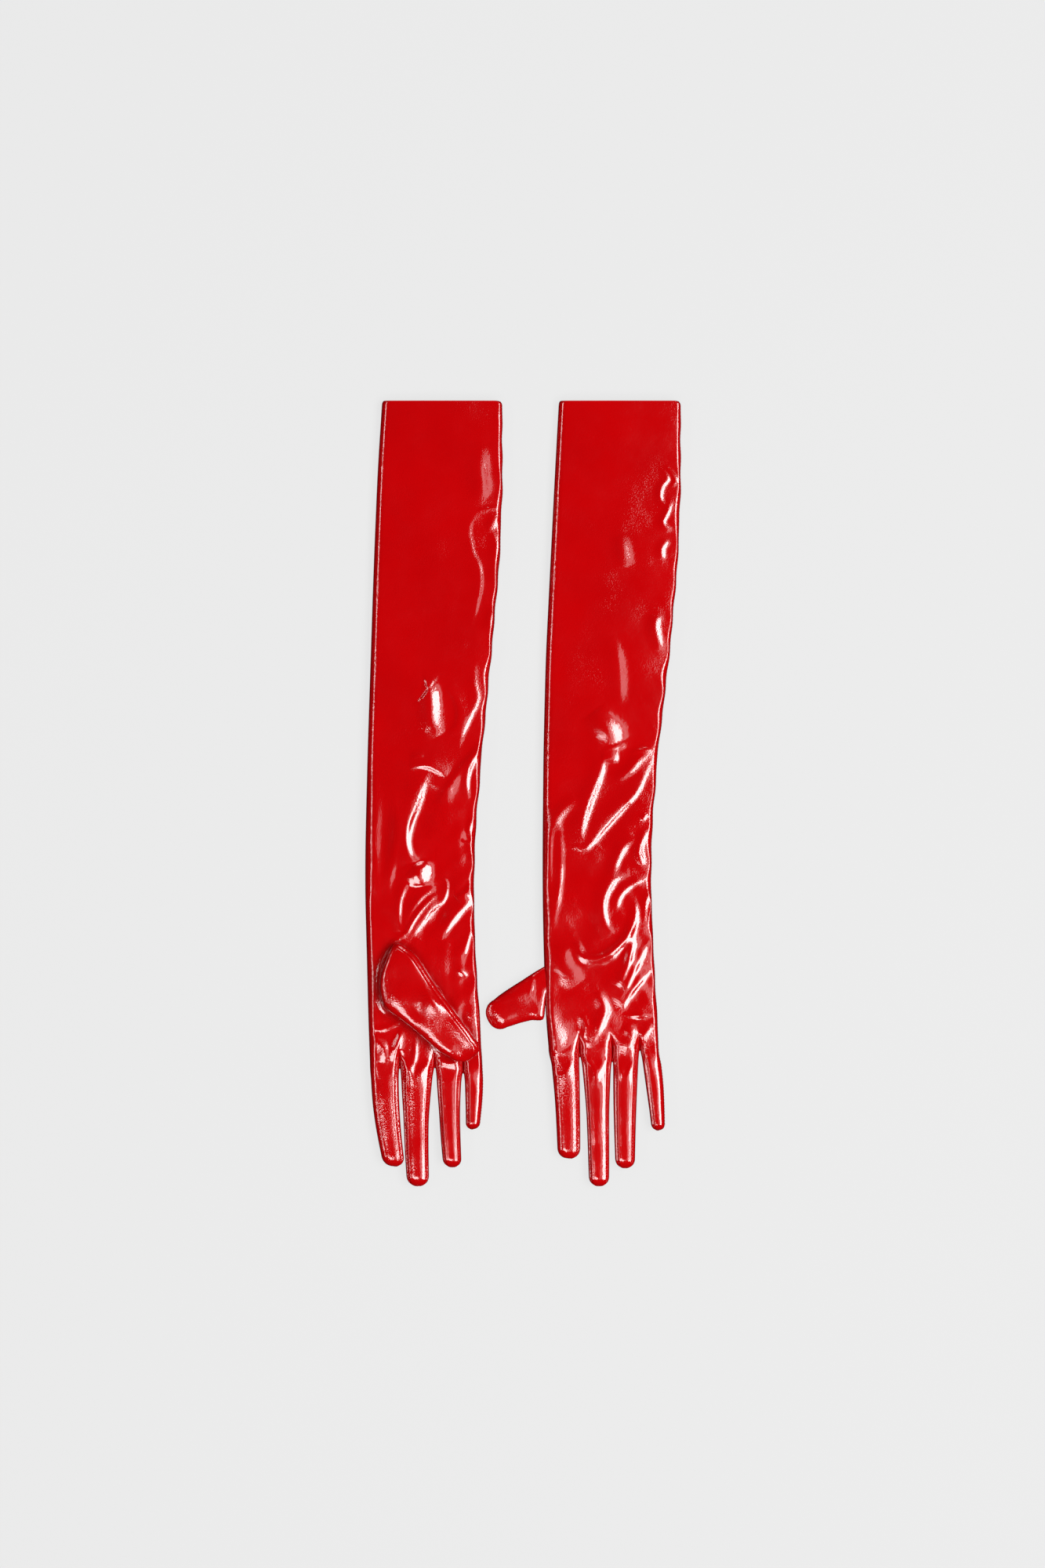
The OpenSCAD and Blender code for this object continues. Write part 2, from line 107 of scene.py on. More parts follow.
# Folds in the leather. Each has two half widths (its left and right flank, walking down its path),
# a height, which is negative for a valley, and a path of X and Y places over the glove.
FOLDS = {
    "right": [
        (7, 8, 1.5, [(-28, 258), (-28, 241), (-27, 226), (-28, 213)]),  # grainy patch by the cuff
        (1.6, 1.4, 0.6, [(-33, 208), (-26, 209), (-18, 210)]),  # crease below it
        # long soft fold, top
        (1.8, 6, 0.55, [(-33, 207), (-39, 197), (-37, 180), (-32, 168), (-31, 154), (-34, 138),
            (-38, 124)]),
        (3, 4, 0.9, [(-19, 205), (-22, 197), (-27, 194)]),  # side patch
        (1.5, 4, 0.78, [(-22, 193), (-19, 184), (-20, 169), (-20, 154)]),  # side line
        (1.5, 4, 0.78, [(-20, 138), (-23, 130), (-24, 119)]),  # side line below
        # long soft fold, below
        (2.2, 7, 0.7, [(-35, 97), (-35, 82), (-33, 70), (-39, 56), (-45, 42), (-47, 33)]),
        (6, 7, 2.4, [(-75, 81), (-67, 80), (-65, 68), (-64, 54), (-59, 45)]),  # hook
        (6, 3, 1.0, [(-59, 79), (-51, 67), (-50, 54), (-56, 44)]),  # hook return
        (3, 1.6, 0.6, [(-83, 27), (-74, 26)]),  # elbow streak
        (7, 2.6, 1.35, [(-84, 18), (-71, 19), (-57, 12)]),  # curve head
        # curve
        (3.2, 9, 1.66, [(-69, 15), (-74, 3), (-78, -9), (-83, -21), (-85, -33), (-83, -44), (-78, -50)]),
        (9, 9, -1.6, [(-60, 3), (-69, -15), (-72, -33)]),  # valley right of the curve
        (8, 9, 2.9, [(-74, -49), (-71, -58), (-70, -68)]),  # blob
        # outer loop
        (1.6, 6, 0.83, [(-65, -61), (-57, -64), (-56, -71), (-59, -80), (-68, -87), (-74, -96),
            (-89, -114)]),
        (2.2, 6, 1.14, [(-85, -66), (-90, -78), (-91, -90), (-90, -102)]),  # left loop
        (1.6, 4, 0.83, [(-64, -70), (-74, -77), (-82, -87), (-88, -100)]),  # inner loop
        (1.6, 3, 0.8, [(-63, -75), (-72, -83), (-81, -95), (-86, -107)]),  # inner loop 2
        (5, 3, 1.1, [(-31, 38), (-39, 30), (-47, 20), (-57, 6), (-64, -6)]),  # pucker fold
        (1.6, 3, 0.8, [(-31, 33), (-38, 21), (-41, 9), (-40, -4)]),  # pucker line
        (1.6, 1.6, 0.5, [(-45, -33), (-39, -35), (-35, -33)]),  # crinkle 1
        (1.6, 1.6, 0.5, [(-41, -47), (-35, -45)]),  # crinkle 2
        (1.6, 1.6, 0.6, [(-37, -18), (-39, -27), (-36, -36)]),  # crinkle 3
        (4, 2, 1.0, [(-37, -63), (-44, -72), (-51, -76)]),  # drag 1
        (3, 8, 1.5, [(-37, -78), (-47, -89), (-54, -98), (-62, -110)]),  # drag 2
        (7, 7, -1.4, [(-48, -74), (-59, -92), (-71, -111)]),  # drag valley
        (1.8, 5, 0.94, [(-36, -95), (-40, -107), (-43, -119)]),  # drag 3
        (5, 5, 0.94, [(-107, 15), (-106, -15), (-107, -36), (-105, -66), (-102, -89)]),  # faint streak 1
        (4, 5, 0.88, [(-93, 3), (-91, -21), (-93, -44), (-97, -66), (-98, -89)]),  # faint streak 2
        (1.4, 2, 0.6, [(-48, -129), (-41, -134)]),  # palm edge fold
        (1.6, 1.6, 0.7, [(-113, -173), (-102, -172), (-91, -167)]),  # index base crease
        (3, 5, 1.4, [(-110, -178), (-101, -187), (-100, -198)]),  # index root V
        (5, 2.5, 1.2, [(-91, -174), (-97, -186), (-100, -196)]),  # index root V, right
        (2.5, 4, 1.2, [(-87, -196), (-82, -205), (-81, -215)]),  # middle root V
        (4, 2.5, 1.1, [(-69, -196), (-77, -203), (-80, -212)]),  # middle root V, right
        (1.6, 1.8, 0.7, [(-63, -196), (-56, -198), (-47, -197)]),  # ring root
        # loop round the thumb
        (1.3, 1.6, 0.68, [(-79, -92), (-87, -104), (-96, -111), (-103, -121), (-106, -133), (-106, -148),
            (-104, -157), (-100, -161)]),
        (1.5, 1.8, 0.78, [(-89, -176), (-92, -186), (-94, -197), (-96, -207)]),  # line from the index fork
        (1.6, 2.4, 0.83, [(-79, -181), (-79, -189), (-80, -197), (-83, -207)]),  # middle finger's line
    ],
    "left": [
        (1.6, 3, 0.83, [(104, 239), (107, 232), (103, 226), (102, 218), (106, 213)]),  # cuff pucker 1
        (1.6, 3, 0.83, [(110, 216), (107, 207), (104, 200), (109, 195)]),  # cuff pucker 2
        (2.0, 3.5, 0.9, [(107, 186), (103, 180), (104, 173)]),  # cuff pucker 3
        (1.4, 1.6, 0.5, [(106, 242), (113, 232), (110, 226)]),  # cuff pucker tick
        (3.0, 5, 1.2, [(101, 131), (99, 123), (103, 106)]),  # side fold
        (5, 5, 1.12, [(74, 191), (79, 168)]),  # faint patch
        (5, 7, 0.88, [(68, 117), (73, 94), (74, 65)]),  # faint fold
        (8, 9, 2.6, [(56, 64), (62, 56), (68, 48), (72, 39)]),  # teardrop
        (2.4, 1.4, 0.7, [(60, 32), (67, 33), (75, 34)]),  # elbow crease
        (2.4, 1.4, 0.73, [(79, 29), (88, 31), (98, 31)]),  # elbow crease 2
        (3.2, 7, 1.66, [(60, 27), (58, 15), (51, -3), (47, -15), (44, -28), (43, -37)]),  # second line
        (6, 3, 1.2, [(57, 24), (70, 24)]),  # second line head
        (3.5, 5, 1.3, [(95, 30), (87, 24), (79, 15), (69, 8)]),  # third patch
        # long bright line
        (2.2, 8, 1.14, [(97, 29), (91, 15), (84, 0), (73, -12), (61, -25), (50, -38), (44, -42),
            (35, -40)]),
        (7, 7, -1.2, [(84, -12), (70, -27), (58, -41)]),  # valley below it
        (4, 5, 1.3, [(41, -6), (33, -12), (27, -19), (26, -28)]),  # left patch
        (2.5, 4, 0.8, [(24, -19), (21, -33), (20, -51), (21, -69)]),  # left streak 1
        (2.5, 4, 0.8, [(28, -22), (29, -44), (28, -66), (26, -81), (22, -101)]),  # left streak 2
        (3, 5, 1.2, [(84, -34), (75, -41), (70, -51), (66, -63)]),  # arc
        (2.8, 7, 1.46, [(79, -61), (70, -63), (63, -72), (60, -84), (62, -95), (67, -103)]),  # cup
        (1.8, 4, 0.94, [(91, -63), (81, -68), (73, -75), (69, -85)]),  # cup line
        # cup right side
        (4, 3, 1.5, [(78, -81), (78, -90), (74, -102), (65, -113), (55, -119), (45, -118), (41, -109)]),
        (3, 1.8, 0.94, [(81, -80), (81, -92), (76, -104), (66, -115), (57, -121)]),  # cup right side 2
        (2.5, 4, 1.3, [(92, -27), (87, -41), (89, -53)]),  # side wave
        (1.5, 3, 0.78, [(92, -16), (87, -21)]),  # side hook
        (1.6, 4, 0.83, [(95, -71), (91, -81), (90, -95)]),  # side line
        (3.5, 4, 1.2, [(80, -104), (82, -114), (79, -127)]),  # low right patch
        (8, 8, 1.5, [(34, -111), (35, -126), (43, -138)]),  # back patch
        (8, 8, 1.25, [(30, -135), (22, -157), (27, -176), (33, -186)]),  # knuckle patch
        (3.5, 6, 1.7, [(56, -145), (62, -159), (57, -174), (49, -188)]),  # S fold
        (3, 3, 0.9, [(45, -162), (48, -171), (46, -181)]),  # S fold return
        (2.0, 6, 1.04, [(93, -109), (84, -128), (77, -143), (70, -155)]),  # drag 1
        (2.0, 4, 1.04, [(94, -131), (82, -145), (73, -159)]),  # drag 2
        (2.0, 4, 1.04, [(81, -111), (78, -126), (71, -143)]),  # drag 3
        (2.2, 1.4, 0.73, [(74, -165), (86, -165), (97, -164)]),  # little base crease
        (3.5, 4.5, 1.4, [(76, -170), (82, -178), (78, -190)]),  # ring base patch
        (2.2, 4, 1.0, [(96, -171), (89, -181), (88, -186)]),  # little base fold
        (2.2, 1.4, 0.7, [(18, -191), (30, -192), (41, -193)]),  # index base crease
        (2.5, 4, 1.2, [(21, -202), (27, -208), (28, -215)]),  # index root V
        (4, 2.2, 1.1, [(35, -197), (30, -205), (28, -214)]),  # index root V, right
        (2.5, 4, 1.1, [(62, -198), (56, -208), (55, -220)]),  # middle root
        (3, 2.5, 0.9, [(43, -196), (50, -205), (53, -217)]),  # middle root, left
        (2.5, 3.5, 1.1, [(67, -198), (73, -205), (74, -212)]),  # ring root V
        (3.5, 2.2, 1.0, [(81, -196), (77, -204), (74, -212)]),  # ring root V, right
    ],
}

# Where a fork between two fingers opens, along Y, from the index finger's side
FORK_Y = {"right": (-200.5, -200.0, -204.0), "left": (-192.0, -195.5, -187.2)}
# The turn of each thumb's length from -Y, and the place of its root
THUMB_TURN = {"right": 35.3, "left": -63.4}
THUMB_ROOT = {"right": (-99.8, -121.2), "left": (15.0, -150.0)}


# ---- Reading the frame ----

def cad_edges(names):
    """Both ends of every mesh edge of some CAD nodes, in millimetres."""
    ends = []
    for name in names:
        mesh = frame["nodes"][name].data
        points = np.array([v.co for v in mesh.vertices], float) / MM
        pairs = np.array([e.vertices[:] for e in mesh.edges])
        ends.append(points[pairs])
    return np.vstack(ends)


def turned(points, hand):
    """Points in a frame with its origin at the thumb's root and its length along -Y."""
    a = math.radians(-THUMB_TURN[hand])
    x = points[..., 0] - THUMB_ROOT[hand][0]
    y = points[..., 1] - THUMB_ROOT[hand][1]
    out = points.copy()
    out[..., 0] = x * math.cos(a) - y * math.sin(a)
    out[..., 1] = x * math.sin(a) + y * math.cos(a)
    return out


def turned_back(points, hand):
    """The reverse of turned."""
    a = math.radians(THUMB_TURN[hand])
    out = points.copy()
    out[..., 0] = points[..., 0] * math.cos(a) - points[..., 1] * math.sin(a) + THUMB_ROOT[hand][0]
    out[..., 1] = points[..., 0] * math.sin(a) + points[..., 1] * math.cos(a) + THUMB_ROOT[hand][1]
    return out


def widths(edges, rows):
    """The lowest and highest X that the edges reach at each Y in rows."""
    low = np.full(len(rows), np.nan)
    high = np.full(len(rows), np.nan)
    a, b = edges[:, 0], edges[:, 1]
    for i, y in enumerate(rows):
        crossing = (a[:, 1] - y) * (b[:, 1] - y) < 0
        if crossing.any():
            p, q = a[crossing], b[crossing]
            t = (y - p[:, 1]) / (q[:, 1] - p[:, 1])
            x = p[:, 0] + t * (q[:, 0] - p[:, 0])
            low[i], high[i] = x.min(), x.max()
    found = ~np.isnan(low)
    order = np.argsort(rows[found])
    low = np.interp(rows, rows[found][order], low[found][order])
    high = np.interp(rows, rows[found][order], high[found][order])
    return low, high


def smoothed(values, spread):
    """Values along evenly spaced rows with their kinks rounded off."""
    reach = int(3 * spread)
    kernel = np.exp(-0.5 * (np.arange(-reach, reach + 1) / spread) ** 2)
    kernel /= kernel.sum()
    before = 2 * values[0] - values[reach:0:-1]
    after = 2 * values[-1] - values[-2:-reach - 2:-1]
    return np.convolve(np.concatenate([before, values, after]), kernel, "valid")


def ease(t):
    """A smooth step from 0 to 1."""
    t = np.clip(t, 0, 1)
    return t * t * (3 - 2 * t)


def joint_place(name):
    """X, Y and Z of a joint."""
    return [value / MM for value in next(j for j in frame["joints"] if j["name"] == name)["pos_m"]]


def hinge_y(hand):
    """Y of the line where the fingers bend."""
    return joint_place(hand + "_index_curl")[1]


# ---- Folds and hollows of the leather ----

def curve_through(points, steps=9):
    """A smooth path through a few points."""
    p = np.array(points, float)
    p = np.vstack([2 * p[0] - p[1], p, 2 * p[-1] - p[-2]])
    path = []
    for i in range(1, len(p) - 2):
        for t in np.arange(steps) / steps:
            path.append(0.5 * (2 * p[i] + (p[i + 1] - p[i - 1]) * t
                               + (2 * p[i - 1] - 5 * p[i] + 4 * p[i + 1] - p[i + 2]) * t ** 2
                               + (3 * p[i] - p[i - 1] - 3 * p[i + 1] + p[i + 2]) * t ** 3))
    path.append(p[-2])
    return np.array(path)


def fold_height(x, y, left_width, right_width, height, points):
    """A ridge with unlike flanks, left and right as seen walking down its path.

    The narrower flank's steepest line lies on the path; the ridge fades at both ends."""
    path = curve_through(points)
    ahead = np.gradient(path, axis=0)
    ahead /= np.linalg.norm(ahead, axis=1, keepdims=True)
    leftward = np.column_stack([-ahead[:, 1], ahead[:, 0]])
    shift = 0.7 * (right_width if right_width < left_width else -left_width)
    path = path + leftward * shift
    reach = 3.0 * max(left_width, right_width)
    near = ((x > path[:, 0].min() - reach) & (x < path[:, 0].max() + reach)
            & (y > path[:, 1].min() - reach) & (y < path[:, 1].max() + reach))
    out = np.zeros_like(x)
    px, py = x[near], y[near]
    best = np.full(len(px), 1e9)
    along = np.zeros(len(px))
    side = np.zeros(len(px))
    for i in range(len(path) - 1):
        start, d = path[i], path[i + 1] - path[i]
        t = np.clip(((px - start[0]) * d[0] + (py - start[1]) * d[1]) / (d @ d + 1e-9), 0, 1)
        gx, gy = px - start[0] - t * d[0], py - start[1] - t * d[1]
        gap = np.hypot(gx, gy)
        closer = gap < best
        best[closer] = gap[closer]
        along[closer] = (i + t[closer]) / (len(path) - 1)
        side[closer] = ((gy * d[0] - gx * d[1]) / (gap * math.hypot(*d) + 1e-9))[closer]
    width = (left_width + right_width) / 2 + (left_width - right_width) / 2 * side
    taper = 0.12 + 0.88 * np.sin(np.pi * np.clip(along, 0, 1)) ** 0.7
    out[near] = height * taper * np.exp(-(best / width) ** 2)
    return out


def waves(x, y, length, seed, stretch=1.0):
    """Soft random ups and downs between about -1 and 1, of a given wave length."""
    rng = np.random.default_rng(seed)
    total = np.zeros_like(x)
    for _ in range(9):
        angle = rng.uniform(0, math.pi)
        k = 2 * math.pi / (length * rng.uniform(0.7, 1.5))
        phase = rng.uniform(0, 2 * math.pi)
        total += np.sin(k * (x * math.cos(angle) * stretch + y * math.sin(angle)) + phase)
    return total / 3.6


def relief(x, y, hand):
    """How far the visible side stands above a smooth tube at each point."""
    total = np.zeros_like(x)
    for fold in FOLDS[hand]:
        total += fold_height(x, y, *fold)
    worn = ease((40 - y) / 130)
    middle = -72 if hand == "right" else 58
    side = ease((x - middle + 10) / 50)
    soft = 0.05 + 0.25 * side + 0.75 * worn
    total += 0.50 * soft * waves(x, y, 42, 11 if hand == "right" else 12)
    total += 0.13 * soft * (side + worn) * waves(x, y, 17, 21 if hand == "right" else 22, 1.4)
    return total


# ---- Grids of points ----

def strip_shape(low, high, r_low, r_high):
    """X and height share of each column of a strip between low and high with rounded sides."""
    turn = np.radians(np.linspace(0, 90, ARC_STEPS + 1))
    share = np.linspace(-1, 1, FLAT_STEPS + 1)[1:-1]
    left = low + r_low * (1 - np.cos(turn))
    flat = (left[-1] + high - r_high) / 2 + share * (high - r_high - left[-1]) / 2
    right = high - r_high * (1 - np.cos(turn[::-1]))
    up = np.concatenate([np.sin(turn), np.ones(len(flat)), np.sin(turn[::-1])])
    return np.concatenate([left, flat, right]), up


def thickness(hand, y):
    """Half the height of a lying glove along its length."""
    line = hinge_y(hand)
    return np.interp(y, [line, -120, -40, 120, 290], [5.7, 5.8, 5.3, 4.9, 4.4])


def finger_nodes(hand, finger):
    """The CAD nodes of one finger's leather."""
    return [n for n in frame["nodes"] if n.startswith(f"{hand}_{finger}_") and "stitching" not in n]


def tip_steps(count):
    """How far along a rounded tip each of its rows lies, and how wide it still is there, as shares."""
    along = 1 - (1 - np.linspace(0, 1, count)[1:]) ** 2
    along[-1] = 0.9997
    return along, (1 - along ** TIP_POWER) ** (1 / TIP_POWER)


def finger_rows(hand, finger, line):
    """Rows of one finger: Y, centre, half width and half height."""
    names = finger_nodes(hand, finger)
    edges = cad_edges(names)
    tip = min(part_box(name)[0].y for name in names) / MM
    probe = np.linspace(line - 1.2, tip + 0.3, 160)
    low, high = widths(edges, probe)
    start_half = np.interp(tip + 9, probe[::-1], ((high - low) / 2)[::-1])
    round_start = tip + start_half
    ys = np.linspace(line, round_start, max(12, int((line - round_start) / 1.5)))
    x_low = np.interp(ys, probe[::-1], low[::-1])
    x_high = np.interp(ys, probe[::-1], high[::-1])
    x_low, x_high = smoothed(x_low, 4), smoothed(x_high, 4)
    t, shrink = tip_steps(15)
    tip_y = round_start - t * start_half
    centre_end = (x_low[-1] + x_high[-1]) / 2
    drift = ((x_low[-1] + x_high[-1]) - (x_low[-4] + x_high[-4])) / 2 / (ys[-4] - ys[-1])
    centre_tip = centre_end + drift * (round_start - tip_y)
    half_tip = (x_high[-1] - x_low[-1]) / 2 * shrink
    half_h = np.interp(ys, [tip, line - 25, line], [5.0, 5.6, float(thickness(hand, line))])
    h_tip = half_h[-1] * (1 - t ** 2.0) ** 0.5
    h_tip[-1] = 0.06
    rows = np.column_stack([ys, (x_low + x_high) / 2, (x_high - x_low) / 2, half_h, half_h + LIFT])
    tips = np.column_stack([tip_y, centre_tip, half_tip, h_tip, np.full(len(t), half_h[-1] + LIFT)])
    return np.vstack([rows, tips])


def opening_ease(y, fork):
    """How far a fork has opened at each Y, from 0 to 1."""
    t = np.clip((fork - y) / CROTCH_RUN, 0, 1)
    return 1 - (1 - t) ** 2.2


def finger_grids(hand, index, forks, outer, line):
    """Upper and lower grids of one finger, with the same first row as the hand's last."""
    rows = finger_rows(hand, FINGERS[index], line)
    y, centre, half_w, half_h, z = (rows[:, k:k + 1] for k in range(5))
    base_low = forks[index - 1] if index > 0 else outer[0]
    base_high = forks[index] if index < 3 else outer[1]
    xs0, up0 = strip_shape(base_low, base_high, *side_rounds(index, base_high - base_low))
    share = (xs0 - base_low) / (base_high - base_low) * 2 - 1
    low_open = opening_ease(y, FORK_Y[hand][index - 1]) if index > 0 else ease((line - y) / 14)
    high_open = opening_ease(y, FORK_Y[hand][index]) if index < 3 else ease((line - y) / 14)
    low = base_low + (centre - half_w - base_low) * low_open
    high = base_high + (centre + half_w - base_high) * high_open
    xs = (low + high) / 2 + share * (high - low) / 2
    ys = y + 0 * xs
    m = ease((line - y) / 16)
    crown = np.clip(1 - np.abs(share) ** FINGER_POWER, 0, 1) ** (1 / FINGER_POWER)
    up = up0 * (1 - m) + crown * m
    near_root = 0.15 + 0.85 * ease((y - line + 34) / 34)
    worn = 0.10 * waves(xs, ys, 26, 51 + index) * ease((line - 4 - y) / 12)
    folds = (relief(xs, ys, hand) * near_root + worn) * up * ease((half_w - 1) / 4)
    top = np.stack([xs, ys, z + up * half_h + folds], axis=-1)
    bottom = np.stack([xs, ys, z - up * half_h], axis=-1)
    return top, bottom


def side_rounds(index, span):
    """How wide the rounding of a strip's two sides is, kept within its width."""
    r_low, r_high = ARM_ROUND, SEAM_ROUND if index == 3 else ARM_ROUND
    k = min(1, 0.94 * span / (r_low + r_high))
    return k * r_low, k * r_high


def glove_plan(hand):
    """Everything that the grids of one glove need: rows, edges, forks and the finger line."""
    line = hinge_y(hand)
    edges = cad_edges([f"{hand}_trank_{part}" for part in ("upper_arm", "forearm", "hand")])
    even = np.linspace(CUFF_Y, line, int(round((CUFF_Y - line) / ROW_STEP)) + 1)
    probe = even.copy()
    probe[0] -= 0.3
    probe[-1] += 0.3
    low, high = (smoothed(side, 14 / ROW_STEP) for side in widths(edges, probe))
    corner = CUFF_Y - CORNER_ROUND * (1 - np.cos(np.radians(np.linspace(0, 75, 6))))
    rows = np.concatenate([corner, even[even < corner[-1] - 0.5]])
    low, high = (np.interp(rows, even[::-1], side[::-1]) for side in (low, high - 0.35))
    inside = np.clip(1 - (CUFF_Y - rows) / CORNER_ROUND, 0, 1)
    pulled = CORNER_ROUND * (1 - np.sqrt(1 - inside ** 2))
    faces = [cad_edges(finger_nodes(hand, finger)) for finger in FINGERS]
    at_line = [widths(face, np.array([line - 1.0, line - 1.2])) for face in faces]
    forks = [(at_line[i][1][0] + at_line[i + 1][0][0]) / 2 for i in range(3)]
    return {"line": line, "rows": rows, "low": low + 0.4 * pulled, "high": high - pulled, "forks": forks}


def arm_grids(hand, plan):
    """Upper and lower grids of the arm and hand, from the cuff to the finger line."""
    line = plan["line"]
    limits = [plan["low"][-1]] + list(plan["forks"]) + [plan["high"][-1]]
    hand_x, hand_up = [], []
    for i in range(4):
        xs, up = strip_shape(limits[i], limits[i + 1], *side_rounds(i, limits[i + 1] - limits[i]))
        keep = slice(0, None) if i == 0 else slice(1, None)
        hand_x.append(xs[keep])
        hand_up.append(up[keep])
    hand_x, hand_up = np.concatenate(hand_x), np.concatenate(hand_up)
    count = len(hand_x)
    y, low, high = (plan[key][:, None] for key in ("rows", "low", "high"))
    high = high + 0.35 * waves(y, 0 * y, 21, 5) * ease((y - line) / 20) * ease((CUFF_Y - 6 - y) / 20)
    turn = np.radians(np.linspace(0, 90, ARC_STEPS + 1))
    seam = SEAM_ROUND * (1 + 0.45 * waves(y, 0 * y, 33, 6) * ease((y - line) / 20))
    flat = np.linspace(0, 1, count - 2 * ARC_STEPS)[1:-1]
    left = low + ARM_ROUND * (1 - np.cos(turn))
    right = high - seam * (1 - np.cos(turn[::-1]))
    between = left[:, -1:] + flat * (right[:, :1] - left[:, -1:])
    spread_x = np.concatenate([left, between, right], axis=1)
    spread_up = np.ones(count)
    spread_up[:ARC_STEPS + 1] = np.sin(turn)
    spread_up[-ARC_STEPS - 1:] = np.sin(turn[::-1])
    m = ease(1 - (y - line) / MIX_RUN)
    gathered = low + (hand_x - limits[0]) / (limits[-1] - limits[0]) * (high - low)
    xs = spread_x * (1 - m) + gathered * m
    ys = y + 0 * xs
    crease = np.clip(1 - (y - line) / CREASE_RUN, 0, 1) ** 1.8
    up = 1 - (1 - spread_up) * (1 - crease) - (1 - hand_up) * crease
    crown = 0.7 * (1 - ((xs - (low + high) / 2) / ((high - low) / 2)) ** 2) * ease((y - line) / 60)
    half_h = thickness(hand, y)
    folds = relief(xs, ys, hand) * up * ease((CUFF_Y + 0.5 - y) / 12)
    top = np.stack([xs, ys, half_h + LIFT + up * half_h + folds + crown * up], axis=-1)
    bottom = np.stack([xs, ys, half_h + LIFT - up * half_h], axis=-1)
    return top, bottom


# ---- Meshes ----

def ring_from(top, bottom):
    """One closed ring of columns from an upper and a lower grid that share their side columns."""
    side_low = (top[:, :1] + bottom[:, :1]) / 2
    side_high = (top[:, -1:] + bottom[:, -1:]) / 2
    return np.concatenate([side_low, top[:, 1:-1], side_high, bottom[:, -2:0:-1]], axis=1)


def grid_normals(grid):
    """Outward normals of a closed grid whose columns run clockwise seen from its last row."""
    across = np.roll(grid, -1, axis=1) - np.roll(grid, 1, axis=1)
    along = np.gradient(grid, axis=0)
    normals = np.cross(across, along)
    size = np.linalg.norm(normals, axis=2, keepdims=True)
    size[size < 1e-9] = 1
    return -normals / size


def shell(grid, normals, wrapped, wall=LEATHER_T):
    """A thin closed sheet: the grid, a copy sunk by the wall, and flat rims; with corner normals."""
    rows, cols = grid.shape[:2]
    inner = grid - normals * wall
    points = np.concatenate([grid.reshape(-1, 3), inner.reshape(-1, 3)])
    shift = rows * cols
    index = np.arange(shift).reshape(rows, cols)
    nxt = np.roll(index, -1, axis=1) if wrapped else index[:, 1:]
    cur = index if wrapped else index[:, :-1]
    a, b, c, d = cur[:-1], nxt[:-1], nxt[1:], cur[1:]
    outside = np.stack([a, d, c, b], axis=-1).reshape(-1, 4)
    inside = outside[:, ::-1] + shift
    first = np.stack([nxt[0], nxt[0] + shift, cur[0] + shift, cur[0]], axis=-1)
    last = np.stack([cur[-1], cur[-1] + shift, nxt[-1] + shift, nxt[-1]], axis=-1)
    rims = [first, last]
    if not wrapped:
        for column, flip in ((0, True), (cols - 1, False)):
            e, f = index[:-1, column], index[1:, column]
            side = np.stack([e, f, f + shift, e + shift], axis=-1)
            rims.append(side[:, ::-1] if flip else side)
    rims = np.concatenate(rims)
    both = np.concatenate([normals.reshape(-1, 3), -normals.reshape(-1, 3)])
    flat = np.cross(points[rims[:, 2]] - points[rims[:, 0]], points[rims[:, 3]] - points[rims[:, 1]])
    flat /= np.maximum(np.linalg.norm(flat, axis=1, keepdims=True), 1e-9)
    faces = np.concatenate([outside, inside, rims])
    corners = np.concatenate([both[np.concatenate([outside, inside]).ravel()], np.repeat(flat, 4, axis=0)])
    return points, faces, corners


def make_mesh(name, points, faces, material, normals=None):
    """A piece from points in millimetres, with smooth shading or with given corner normals."""
    mesh = bpy.data.meshes.new(name)
    mesh.from_pydata((np.array(points) * MM).tolist(), [], [list(face) for face in faces])
    mesh.update()
    mesh.shade_smooth()
    if normals is not None:
        mesh.normals_split_custom_set(normals.tolist())
    piece = bpy.data.objects.new(name, mesh)
    bpy.context.scene.collection.objects.link(piece)
    piece.data.materials.append(material)
    return piece


# ---- Materials ----

def put(node, **values):
    """Sets some inputs of a node; each name has _ for its spaces."""
    for name, value in values.items():
        node.inputs[name.replace("_", " ")].default_value = value


def node_material(name):
    """A new material with its tree, its one shader and the object's own coordinates."""
    material = bpy.data.materials.new(name)
    material.use_nodes = True
    tree = material.node_tree
    tree.nodes.clear()
    output = tree.nodes.new("ShaderNodeOutputMaterial")
    shader = tree.nodes.new("ShaderNodeBsdfPrincipled")
    tree.links.new(shader.outputs["BSDF"], output.inputs["Surface"])
    place = tree.nodes.new("ShaderNodeTexCoord")
    return material, tree, shader, place.outputs["Object"]


def noise(tree, place, scale, detail):
    """A noise texture's value."""
    node = tree.nodes.new("ShaderNodeTexNoise")
    put(node, Scale=scale, Detail=detail)
    tree.links.new(place, node.inputs["Vector"])
    return node.outputs["Fac"]


def remap(tree, value, from_low, from_high, to_low, to_high):
    """A value moved to another range."""
    node = tree.nodes.new("ShaderNodeMapRange")
    put(node, From_Min=from_low, From_Max=from_high, To_Min=to_low, To_Max=to_high)
    tree.links.new(value, node.inputs["Value"])
    return node.outputs["Result"]


def colour_between(tree, value, first, second):
    """A mix of two colours."""
    node = tree.nodes.new("ShaderNodeMix")
    node.data_type = "RGBA"
    node.inputs[6].default_value = (*first, 1)
    node.inputs[7].default_value = (*second, 1)
    tree.links.new(value, node.inputs[0])
    return node.outputs[2]


def bump(tree, shader, height, strength, distance, under=None):
    """Lets a height tilt the shader's normal, on top of another bump if there is one."""
    node = tree.nodes.new("ShaderNodeBump")
    put(node, Strength=strength, Distance=distance)
    tree.links.new(height, node.inputs["Height"])
    if under is not None:
        tree.links.new(under, node.inputs["Normal"])
    tree.links.new(node.outputs["Normal"], shader.inputs["Normal"])
    return node.outputs["Normal"]


